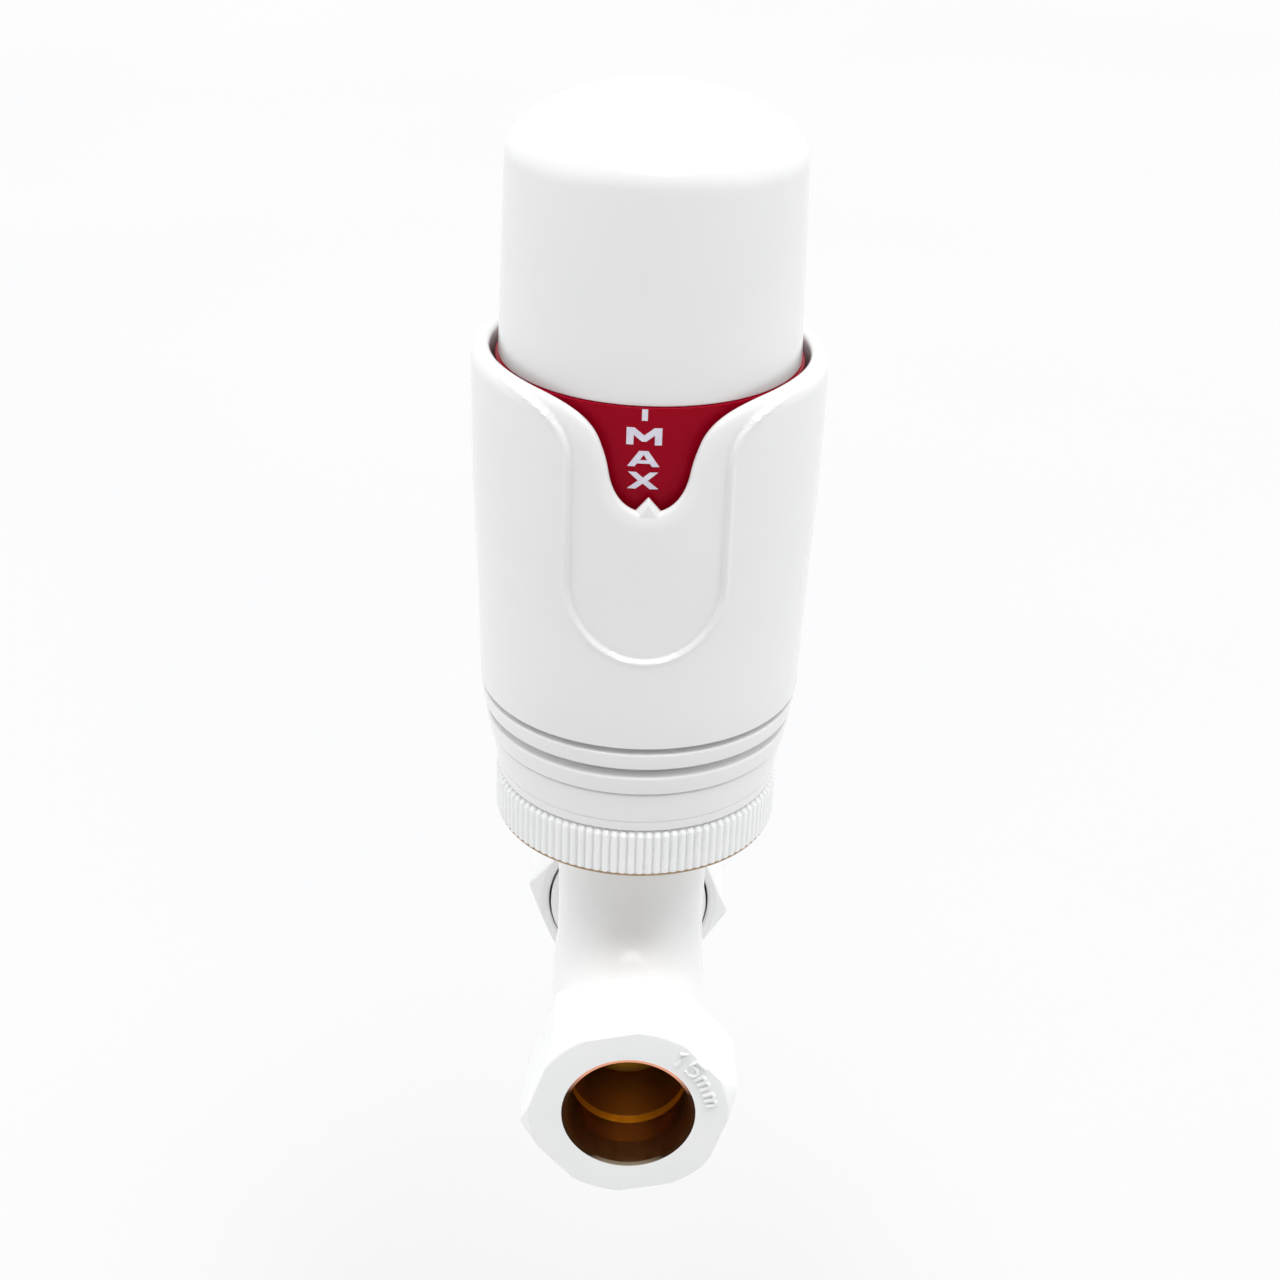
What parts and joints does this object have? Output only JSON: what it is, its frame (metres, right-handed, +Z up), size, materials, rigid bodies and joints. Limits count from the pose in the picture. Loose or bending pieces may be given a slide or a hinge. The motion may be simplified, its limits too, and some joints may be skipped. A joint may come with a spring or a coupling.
{
  "type": "thermostatic radiator valve",
  "caption": "Straight thermostatic radiator valve: white domed head with a red setting scale, ribbed collar, compression inlet nut and a union tail.",
  "frame": {"origin": "where the head's axis crosses the pipe run", "axes": "+Z up along the head; the pipe comes in from -Y, the radiator is at +Y, +X to the right seen from the pipe's side"},
  "size_m": [0.0436, 0.0828, 0.1385],
  "materials": {
    "white_plastic": "glossy white moulded plastic with a faint orange peel",
    "white_paint": "white paint over brass, softly glossy",
    "red_plastic": "deep red, smooth, with a printed pale legend",
    "inner_plastic": "off-white engineering plastic",
    "brass": "bare turned brass",
    "steel": "bright spring steel",
    "sensor_metal": "drawn aluminium can",
    "rubber": "black sealing rubber",
    "seal_red": "red-brown thread seal"
  },
  "bodies": {
    "valve": {"valve_body": "white_paint", "bonnet": "brass", "bonnet_oring": "rubber", "gland_nut": "brass", "gland_oring": "rubber", "spring_seat": "steel", "return_spring": "steel", "olive": "brass", "union_gasket": "rubber", "radiator_tail": "brass", "tail_seal": "seal_red", "head_base": "white_plastic", "outer_sleeve": "white_plastic", "cap_snap_ring": "steel", "collar_snap_ring": "steel"},
    "handwheel": {"cap": "white_plastic", "scale_ring": "red_plastic"},
    "carrier": {"sensor_carrier": "inner_plastic", "sensor_capsule": "sensor_metal", "overload_spring": "steel", "spring_retainer": "inner_plastic"},
    "closing_rod": {"sensor_plunger": "steel", "spindle": "steel", "spindle_circlip": "steel", "disc_holder": "brass", "valve_disc": "rubber", "disc_rivet": "brass"},
    "collar": {"knurled_collar": "white_paint"},
    "inlet_nut": {"compression_nut": "white_paint"},
    "outlet_nut": {"union_nut": "white_paint"}
  },
  "joints": [
    {"name": "handwheel_turn", "type": "hinge", "parent": "valve", "child": "handwheel", "pos_m": [0, 0, 0.09], "axis": [0, 0, 1], "range_deg": [-300, 0]},
    {"name": "carrier_travel", "type": "slide", "parent": "handwheel", "child": "carrier", "axis": [0, 0, 1], "range_m": [-0.00151, 0]},
    {"name": "sensor_stroke", "type": "slide", "parent": "carrier", "child": "closing_rod", "axis": [0, 0, 1], "range_m": [-0.0015, 0], "stiffness_N_per_m": 200, "springref_m": 0.001, "deforming": ["return_spring"]},
    {"name": "collar_turn", "type": "hinge", "parent": "valve", "child": "collar", "pos_m": [0, 0, 0.0316], "axis": [0, 0, 1], "continuous": true},
    {"name": "inlet_nut_turn", "type": "hinge", "parent": "valve", "child": "inlet_nut", "pos_m": [0, -0.0247, 0], "axis": [0, -1, 0], "continuous": true},
    {"name": "outlet_nut_turn", "type": "hinge", "parent": "valve", "child": "outlet_nut", "pos_m": [0, 0.0242, 0], "axis": [0, 1, 0], "continuous": true}
  ],
  "couplings": [
    {"joint": "carrier_travel", "follows": "handwheel_turn", "m_per_rad": 0.00028648}
  ]
}
